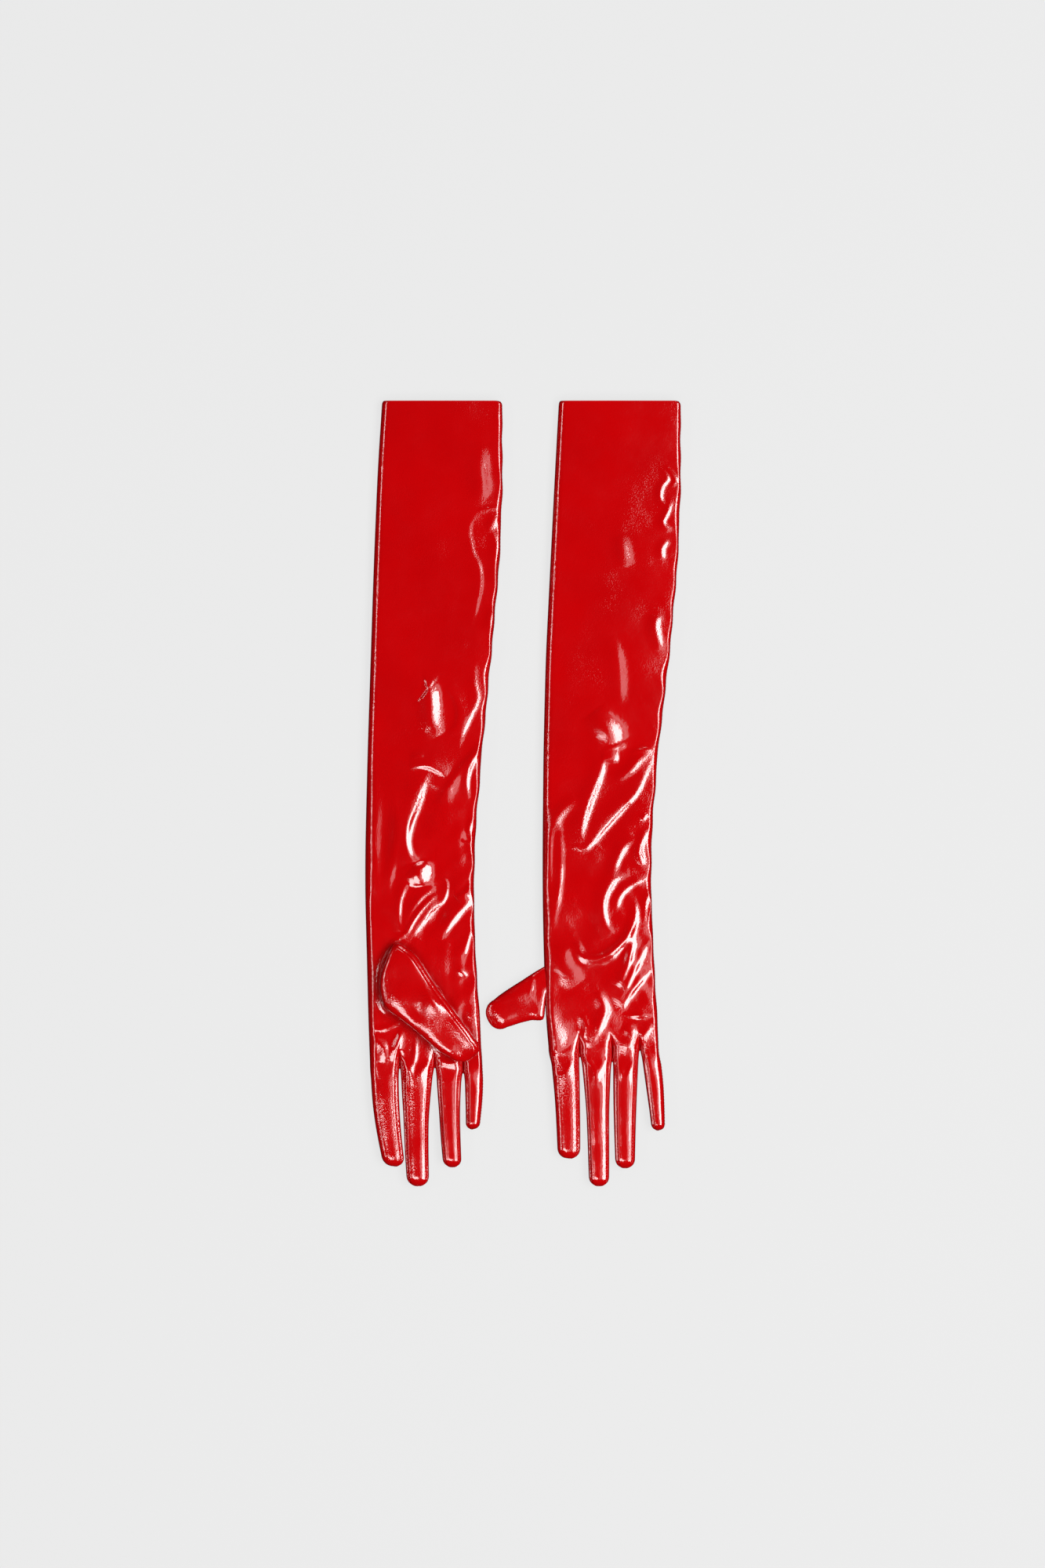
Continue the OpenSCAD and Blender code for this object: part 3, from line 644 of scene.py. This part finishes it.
def patent_leather():
    """Lacquered leather: deep even red, mirror-like, with a fine grain that comes and goes."""
    material, tree, shader, place = node_material("patent_leather")
    tone = remap(tree, noise(tree, place, 22, 3), 0.3, 0.7, 0, 1)
    colour = colour_between(tree, tone, (0.395, 0.0, 0.0008), (0.36, 0.0, 0.0008))
    tree.links.new(colour, shader.inputs["Base Color"])
    gloss = remap(tree, noise(tree, place, 60, 4), 0.3, 0.75, 0.11, 0.17)
    tree.links.new(gloss, shader.inputs["Roughness"])
    put(shader, Coat_Weight=1.0, Coat_Roughness=0.035)
    grain = tree.nodes.new("ShaderNodeTexVoronoi")
    grain.feature = "SMOOTH_F1"
    put(grain, Scale=1100, Smoothness=0.6)
    tree.links.new(place, grain.inputs["Vector"])
    patches = remap(tree, noise(tree, place, 34, 3), 0.44, 0.66, 0.15, 1.0)
    grain_height = tree.nodes.new("ShaderNodeMath")
    grain_height.operation = "MULTIPLY"
    tree.links.new(grain.outputs["Distance"], grain_height.inputs[0])
    tree.links.new(patches, grain_height.inputs[1])
    soft = bump(tree, shader, noise(tree, place, 260, 3), 0.4, 0.0002)
    fine = bump(tree, shader, grain_height.outputs[0], 0.7, 0.00015, soft)
    tree.links.new(fine, shader.inputs["Coat Normal"])
    return material


def knit_lining():
    """Fine matte knit with ribs along the arm."""
    material, tree, shader, place = node_material("lining_fabric")
    rib = tree.nodes.new("ShaderNodeTexWave")
    put(rib, Scale=420, Distortion=1.5)
    tree.links.new(place, rib.inputs["Vector"])
    tone = remap(tree, noise(tree, place, 500, 2), 0.3, 0.7, 0, 1)
    tree.links.new(colour_between(tree, tone, (0.30, 0.01, 0.015), (0.22, 0.006, 0.01)),
                   shader.inputs["Base Color"])
    put(shader, Roughness=0.85, Sheen_Weight=0.3)
    bump(tree, shader, rib.outputs["Fac"], 0.5, 0.0003)
    return material


def sewing_thread():
    """Red twisted thread with a slight sheen."""
    material, tree, shader, place = node_material("sewing_thread")
    twist = tree.nodes.new("ShaderNodeTexWave")
    twist.wave_type = "BANDS"
    twist.bands_direction = "DIAGONAL"
    twist.inputs["Scale"].default_value = 1600
    tree.links.new(place, twist.inputs["Vector"])
    tree.links.new(colour_between(tree, twist.outputs["Fac"], (0.50, 0.004, 0.008), (0.30, 0.0, 0.004)),
                   shader.inputs["Base Color"])
    put(shader, Roughness=0.3, Coat_Weight=0.6)
    bump(tree, shader, twist.outputs["Fac"], 0.6, 0.0001)
    return material


def label_ribbon():
    """Blank woven satin ribbon."""
    material, tree, shader, place = node_material("label_ribbon")
    weave = tree.nodes.new("ShaderNodeTexChecker")
    weave.inputs["Scale"].default_value = 2200
    tree.links.new(place, weave.inputs["Vector"])
    tree.links.new(colour_between(tree, weave.outputs["Fac"], (0.76, 0.75, 0.72), (0.68, 0.67, 0.64)),
                   shader.inputs["Base Color"])
    shader.inputs["Roughness"].default_value = 0.5
    bump(tree, shader, weave.outputs["Fac"], 0.4, 0.0001)
    return material


LEATHER = patent_leather()
LINING = knit_lining()
THREAD = sewing_thread()
RIBBON = label_ribbon()


# ---- Sewing ----

def tube_faces(start, rings, sides):
    """Faces of a closed tube whose rings of points are numbered from start."""
    faces = []
    for ring in range(rings - 1):
        for k in range(sides):
            a, b = start + ring * sides + k, start + ring * sides + (k + 1) % sides
            faces.append([a, b, b + sides, a + sides])
    faces.append([start + k for k in range(sides)][::-1])
    faces.append([start + (rings - 1) * sides + k for k in range(sides)])
    return faces


def stitch_row(path, normals, pitch, length, radius, lift):
    """Points and faces of a row of short rounded stitches along a path."""
    gaps = np.linalg.norm(np.diff(path, axis=0), axis=1)
    walked = np.concatenate([[0], np.cumsum(gaps)])
    sides, profile = 6, [(-0.5, 0.35), (-0.36, 0.85), (0, 1.0), (0.36, 0.85), (0.5, 0.35)]
    points, faces = [], []
    for s in np.arange(pitch, walked[-1] - pitch, pitch):
        here = np.array([np.interp(s, walked, path[:, k]) for k in range(3)])
        ahead = np.array([np.interp(s + 0.4, walked, path[:, k]) for k in range(3)])
        up = np.array([np.interp(s, walked, normals[:, k]) for k in range(3)])
        t = (ahead - here) / np.linalg.norm(ahead - here)
        up = up - t * (up @ t)
        up /= np.linalg.norm(up)
        across = np.cross(t, up)
        start = len(points)
        for share, thick in profile:
            centre = here + t * share * length + up * lift
            for k in range(sides):
                a = 2 * math.pi * k / sides
                points.append(centre + radius * thick * (math.cos(a) * across + math.sin(a) * up))
        faces += tube_faces(start, len(profile), sides)
    return points, faces


def stitching(name, lines, pitch=STITCH_PITCH, length=STITCH_LEN, radius=STITCH_R, lift=STITCH_LIFT):
    """One piece that holds every stitch along some lines, each a path with its normals."""
    points, faces = [], []
    for path, normals in lines:
        more, more_faces = stitch_row(path, normals, pitch, length, radius, lift)
        faces += [[i + len(points) for i in face] for face in more_faces]
        points += more
    piece = make_mesh(name, points, faces, THREAD)
    return piece


# ---- Pieces of one glove ----

def joined_normals(arm, arm_normals, fingers):
    """Gives the hand's last row and each finger's first row the same normals where they meet."""
    sums = {}
    for grid, normals, row in [(arm, arm_normals, -1)] + [(g, n, 0) for g, n in fingers]:
        for p, n in zip(grid[row], normals[row]):
            key = tuple(np.round(p, 2))
            sums[key] = sums.get(key, np.zeros(3)) + n
    for grid, normals, row in [(arm, arm_normals, -1)] + [(g, n, 0) for g, n in fingers]:
        for i, p in enumerate(grid[row]):
            total = sums[tuple(np.round(p, 2))]
            size = np.linalg.norm(total)
            if size > 1e-6:
                normals[row][i] = total / size


def blend_y(piece, first, second, from_y, to_y):
    """Bakes a piece's transform into its mesh."""
    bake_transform(piece)


def sheet_piece(name, grid, normals, wrapped, material, replaced, wall=LEATHER_T):
    """A thin sheet in the place of some CAD nodes."""
    points, faces, both = shell(grid, normals, wrapped, wall)
    piece = make_mesh(name, points, faces, material, both)
    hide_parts(*replaced)
    return piece


def arm_pieces(hand, ring, normals, rows):
    """The trank's two long pieces, which meet on the forearm, their lining, the side seam and the hem."""
    elbow = joint_place(hand + "_elbow")[1]
    wrist = joint_place(hand + "_wrist")[1]
    split = int(np.argmin(np.abs(rows - SPLIT_Y)))
    arm, forearm, palm = (f"{hand}_{body}" for body in ("upper_arm", "forearm", "hand"))
    parts = [("upper", slice(0, split + 1), ("upper_arm",), "upper_arm",
              (arm, forearm, elbow + ELBOW_BEND[0], elbow - ELBOW_BEND[1])),
             ("lower", slice(split, None), ("forearm", "hand"), "forearm",
              (forearm, palm, wrist + WRIST_BEND[0], wrist - WRIST_BEND[1]))]
    for part, span, lengths, lined, bend in parts:
        piece = sheet_piece(f"{hand}_{part}_trank", ring[span], normals[span], True, LEATHER,
                            [f"{hand}_trank_{length}" for length in lengths])
        blend_y(piece, *bend)
        inside = (ring - normals * (LEATHER_T + LINING_GAP))[span][::3, ::2]
        if part == "upper":
            inside = inside[LINING_FROM:]
        lining = sheet_piece(f"{hand}_{part}_lining", inside, normals[span][::3, ::2][-len(inside):], True,
                             LINING, [f"{hand}_lining_{lined}"], LINING_T)
        blend_y(lining, *bend)
        seam = ring[span, SIDE_SEAM_COLUMN]
        seam_normals = normals[span, SIDE_SEAM_COLUMN]
        sewn = stitching(f"{hand}_{part}_side_seam", [(seam, seam_normals)], SIDE_PITCH, SIDE_STITCH,
                         SIDE_STITCH_R, SUNK_LIFT)
        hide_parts(*[f"{hand}_side_seam_{length}" for length in lengths])
        blend_y(sewn, *bend)
    hem_rows = rows > rows[0] - HEM_DEPTH
    hem = (ring - normals * (LEATHER_T + HEM_GAP))[hem_rows]
    piece = sheet_piece(hand + "_cuff_hem", hem, normals[hem_rows], True, LEATHER,
                        [hand + "_cuff_hem"], HEM_T)
    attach(piece, hand + "_upper_arm")


def finger_pieces(hand, index, cols, ring, normals):
    """The two faces, the side strips and the stitches of one finger."""
    finger = FINGERS[index]
    total = ring.shape[1]
    low_top, high_top = SEAM_STEP, cols - 1 - SEAM_STEP
    high_bottom, low_bottom = cols - 1 + SEAM_STEP, total - SEAM_STEP
    line = hinge_y(hand)
    bend = (hand + "_hand", f"{hand}_{finger}", line, line - FINGER_BEND)
    up_side, down_side = ("palm", "back") if hand == "right" else ("back", "palm")
    first = 0 if index == 0 else low_top
    last = cols - 1 if index == 3 else high_top
    lower_first = cols - 1 if index == 3 else high_bottom
    lower_last = total if index == 0 else low_bottom
    upper = np.arange(first, last + 1)
    lower = np.arange(lower_first, lower_last + 1) % total
    for side, columns in ((up_side, upper), (down_side, lower)):
        piece = sheet_piece(f"{hand}_{finger}_{side}_leather", ring[:, columns], normals[:, columns], False,
                            LEATHER, [f"{hand}_{finger}_{side}_face"])
        blend_y(piece, *bend)
    strips = []
    if index > 0:
        strips.append(("index_side", np.arange(low_bottom, total + low_top + 1) % total))
    if index < 3:
        strips.append(("little_side", np.arange(high_top, high_bottom + 1)))
    node = f"{hand}_{finger}_" + ("fourchettes" if len(strips) == 2 else "fourchette")
    for side, columns in strips:
        piece = sheet_piece(f"{hand}_{finger}_fourchette_{side}", ring[:, columns], normals[:, columns],
                            False, LEATHER, [node])
        blend_y(piece, *bend)
    seams = []
    if index > 0:
        seams += [low_top, low_bottom]
    if index < 3:
        seams += [high_top, high_bottom]
    lines = [(ring[:-6, c], normals[:-6, c]) for c in seams]
    if index == 3:
        outer = cols - 1
        sunk = (STITCH_LIFT - SUNK_LIFT) * normals[:-6, outer]
        lines.append((ring[:-6, outer] - sunk, normals[:-6, outer]))
    sewn = stitching(f"{hand}_{finger}_stitches", lines)
    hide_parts(f"{hand}_{finger}_stitching")
    blend_y(sewn, *bend)


def pressed_seams(ring, normals, cols, index):
    """Presses a groove along each finger seam, with the leather standing up on both sides of it."""
    total = ring.shape[1]
    seams = []
    if index > 0:
        seams += [SEAM_STEP, total - SEAM_STEP]
    if index < 3:
        seams += [cols - 1 - SEAM_STEP, cols - 1 + SEAM_STEP]
    start = ease((np.arange(ring.shape[0]) - 2) / 6)[:, None]
    for c in seams:
        for step, depth in SEAM_PRESS:
            k = (c + step) % total
            ring[:, k] += normals[:, k] * depth * start


def quirk_pieces(hand, plan):
    """Small diamonds of leather at the bottom of each fork."""
    points, faces = [], []
    for x, y in zip(plan["forks"], FORK_Y[hand]):
        start = len(points)
        steps, sides = 7, 12
        for i in range(steps):
            share = -1 + 2 * i / (steps - 1)
            width = max(1 - abs(share), 0.04)
            for k in range(sides):
                a = 2 * math.pi * k / sides
                points.append([x + 1.1 * width * math.cos(a), y - 0.9 + 2.2 * width * math.sin(a),
                               5.6 + 3.6 * share])
        faces += tube_faces(start, steps, sides)
    piece = make_mesh(hand + "_quirk_leather", points, faces, LEATHER)
    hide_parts(hand + "_quirks")
    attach(piece, hand + "_hand")


def thumb_outline(hand):
    """Rows of the thumb along its length: Y, centre and half width, from its root to its tip."""
    edges = turned(cad_edges([f"{hand}_thumb_palm_face", f"{hand}_thumb_back_face"]), hand)
    lowest = edges[..., 1].min()
    top = THUMB_TOP[hand]
    probe = np.linspace(3.0, lowest + 0.4, 120)
    low, high = widths(edges, probe)
    half_end = np.interp(lowest + 10, probe[::-1], ((high - low) / 2)[::-1])
    round_start = lowest + half_end
    ys = np.linspace(top, round_start, 64)
    x_low, x_high = (smoothed(np.interp(ys, probe[::-1], side[::-1]), 2.5) for side in (low, high))
    if hand == "left":
        x_high += 0.30 * np.clip(ys + 16, 0, None)
        x_low -= 0.06 * np.clip(ys + 10, 0, None)
    t, shrink = tip_steps(16)
    drift = ((x_low[-1] + x_high[-1]) - (x_low[-6] + x_high[-6])) / 2 / (ys[-6] - ys[-1])
    tip_y = round_start - t * half_end
    centre = np.concatenate([(x_low + x_high) / 2,
                             (x_low[-1] + x_high[-1]) / 2 + drift * (round_start - tip_y)])
    half_w = np.concatenate([(x_high - x_low) / 2, (x_high[-1] - x_low[-1]) / 2 * shrink])
    return np.concatenate([ys, tip_y]), centre, half_w, np.concatenate([np.zeros(len(ys)), t])


def thumb_ring(hand):
    """The thumb as closed rings of points: a puffy tube that is rounded off at its tip."""
    ys, centre, half_w, t = thumb_outline(hand)
    if hand == "right":
        from_root = np.clip((ys[0] - ys) / ROOT_ROUND, 0.0004, 1)
        cap = (1 - (1 - from_root) ** ROOT_POWER) ** (1 / ROOT_POWER)
        half_w = half_w * cap
        puff = 4.9 + 1.3 * ease((ys - ys[-1]) / 30)
        half_h = puff * cap * np.sqrt(1 - t ** 2)
        z_mid = PALM_TOP + puff
    else:
        places = [ys[-1], -20, -8, 6, ys[0]]
        half_h = np.interp(ys, places, [4.6, 5.0, 5.0, 3.6, 3.0]) * np.sqrt(1 - t ** 2)
        z_mid = np.interp(ys, places, [4.8, 5.2, 5.3, 5.8, 5.8])
    theta = np.linspace(math.pi, -math.pi, THUMB_COLUMNS + 1)[:-1]
    c, s = np.cos(theta), np.sin(theta)
    px = centre[:, None] + half_w[:, None] * np.sign(c) * np.abs(c) ** (2 / THUMB_POWER)
    pz = z_mid[:, None] + half_h[:, None] * np.sign(s) * np.abs(s) ** (2 / THUMB_POWER)
    py = ys[:, None] + 0 * px
    # A pressed ridge along the thumb's far seam, and a puffed belly next to it
    far = (centre + half_w)[:, None] - px
    if hand == "right":
        ridge = 0.9 * np.exp(-np.clip(far - 4.4, 0, None) / 5) * ease((far - 3.0) / 1.4)
        belly = 2.0 * np.exp(-((py + 45) / 12) ** 2) * ease((far - 3.5) / 5)
        belly = belly * np.clip((22 - far) / 11, 0, 1)
    else:
        ridge = 0.35 * np.exp(-((far - 22) / 3.5) ** 2)
        belly = 0.9 * np.exp(-((py + 26) / 11) ** 2) * ease((far - 2) / 12)
    soft = 0.4 * waves(px, py, 22, 41 if hand == "right" else 42)
    pz += np.clip(s, 0, 1) * (ridge + belly + soft) * ease(half_w / 8)[:, None]
    return turned_back(np.stack([px, py, pz], axis=-1), hand)


def thumb_pieces(hand):
    """The two faces of the thumb and the thread between them."""
    ring = thumb_ring(hand)
    normals = grid_normals(ring)
    half = THUMB_COLUMNS // 2
    upper = np.arange(0, half + 1)
    lower = np.arange(half, THUMB_COLUMNS + 1) % THUMB_COLUMNS
    for side, columns in (("back", upper), ("palm", lower)):
        piece = sheet_piece(f"{hand}_thumb_{side}_leather", ring[:, columns], normals[:, columns], False,
                            LEATHER, [f"{hand}_thumb_{side}_face"])
        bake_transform(piece)
    seams = [(ring[6:-6, 0], normals[6:-6, 0]), (ring[6:-6, half], normals[6:-6, half])]
    sewn = stitching(hand + "_thumb_stitches", seams, lift=-0.2)
    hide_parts(hand + "_thumb_stitching")
    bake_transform(sewn)


def size_label(hand, ring, normals, rows):
    """A blank ribbon sewn to the lining, on the underside."""
    low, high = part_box(hand + "_size_label")
    centre = (low + high) / 2 / MM
    half = (high - low) / 2 / MM
    columns, lines = 13, 7
    xs = np.linspace(centre.x - half.x, centre.x + half.x, columns)
    ys = np.linspace(centre.y + half.y, centre.y - half.y, lines)
    row = ring[int(np.argmin(np.abs(rows - centre.y)))]
    z = row[:, 2].min() + LEATHER_T + 0.95
    grid = np.array([[[x, y, z + 0.12 * math.sin(x * 0.8)] for x in xs] for y in ys])
    up = np.zeros_like(grid)
    up[..., 2] = 1
    piece = sheet_piece(hand + "_blank_label", grid, up, False, RIBBON,
                        [hand + "_size_label"], LABEL_T)
    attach(piece, hand + "_upper_arm")


def glove(hand):
    """Every piece of one glove."""
    plan = glove_plan(hand)
    top, bottom = arm_grids(hand, plan)
    ring = ring_from(top, bottom)
    normals = grid_normals(ring)
    outer = (top[-1, 0, 0], top[-1, -1, 0])
    fingers = []
    for index in range(4):
        f_top, f_bottom = finger_grids(hand, index, plan["forks"], outer, plan["line"])
        f_ring = ring_from(f_top, f_bottom)
        cols = f_top.shape[1]
        pressed_seams(f_ring, grid_normals(f_ring), cols, index)
        fingers.append((cols, f_ring, grid_normals(f_ring)))
    joined_normals(ring, normals, [(f_ring, f_normals) for cols, f_ring, f_normals in fingers])
    arm_pieces(hand, ring, normals, plan["rows"])
    for index, (cols, f_ring, f_normals) in enumerate(fingers):
        finger_pieces(hand, index, cols, f_ring, f_normals)
    quirk_pieces(hand, plan)
    thumb_pieces(hand)
    size_label(hand, ring, normals, plan["rows"])


# ---- Floor, light and camera ----

def floor():
    """Paper that the camera sees evenly lit and that throws only a little light back up."""
    bpy.ops.mesh.primitive_plane_add(size=40, location=(0, 0, -0.0002))
    plane = bpy.context.object
    plane.name = "floor"
    material = bpy.data.materials.new("paper")
    material.use_nodes = True
    tree = material.node_tree
    shader = tree.nodes["Principled BSDF"]
    put(shader, Base_Color=(0.05, 0.05, 0.05, 1), Roughness=1.0, Specular_IOR_Level=0.0,
        Emission_Color=(1, 1, 1, 1))
    path = tree.nodes.new("ShaderNodeLightPath")
    glow = remap(tree, path.outputs["Is Camera Ray"], 0, 1, FLOOR_BOUNCE, FLOOR_GLOW)
    tree.links.new(glow, shader.inputs["Emission Strength"])
    plane.data.materials.append(material)
    plane.visible_glossy = False


def softbox(name, tilt, azimuth, wide, long, glow, distance=3.0):
    """A lamp tilted away from straight above, towards azimuth (0 is +X); its long side is across that."""
    data = bpy.data.lights.new(name, "AREA")
    data.shape = "RECTANGLE"
    data.size = long
    data.size_y = wide
    data.energy = math.pi * glow * wide * long
    lamp = bpy.data.objects.new(name, data)
    bpy.context.scene.collection.objects.link(lamp)
    t, a = math.radians(tilt), math.radians(azimuth)
    lamp.location = (distance * math.sin(t) * math.cos(a), distance * math.sin(t) * math.sin(a),
                     distance * math.cos(t))
    lamp.rotation_euler = (t, 0, a + math.pi / 2)
    return lamp


def lights():
    """Five lamps round the pair, and a backdrop that is pale to the camera and dim to the gloves."""
    softbox("right_softbox", 35, -12, 1.25, 3.0, 12.0)
    softbox("right_glow", 15, -12, 0.40, 2.4, 1.6)
    softbox("left_softbox", 48, 180, 0.45, 2.6, 6.0)
    softbox("near_softbox", 30, 244, 0.45, 0.85, 9.0, 2.0)
    softbox("far_softbox", 45, 90, 0.5, 1.8, 6.0)
    world = bpy.data.worlds.new("studio")
    bpy.context.scene.world = world
    world.use_nodes = True
    tree = world.node_tree
    back = tree.nodes["Background"]
    back.inputs["Color"].default_value = (PAPER, PAPER, PAPER, 1)
    dim = tree.nodes.new("ShaderNodeBackground")
    put(dim, Color=(1, 1, 1, 1), Strength=0.01)
    path = tree.nodes.new("ShaderNodeLightPath")
    mixed = tree.nodes.new("ShaderNodeMixShader")
    tree.links.new(path.outputs["Is Camera Ray"], mixed.inputs[0])
    tree.links.new(dim.outputs[0], mixed.inputs[1])
    tree.links.new(back.outputs[0], mixed.inputs[2])
    tree.links.new(mixed.outputs[0], tree.nodes["World Output"].inputs["Surface"])
    bpy.context.scene.view_settings.view_transform = "Standard"


def camera():
    """Straight above, with the pair just below the middle of a tall frame of twice its length."""
    data = bpy.data.cameras.new("camera")
    data.sensor_width = 36
    distance, frame_height = 4.0, 1.16
    data.lens = data.sensor_width * distance / frame_height
    data.clip_end = 100
    eye = bpy.data.objects.new("camera", data)
    bpy.context.scene.collection.objects.link(eye)
    eye.location = (-0.0009, 0.007, distance)
    bpy.context.scene.camera = eye


for side in ("right", "left"):
    glove(side)
floor()
lights()
camera()
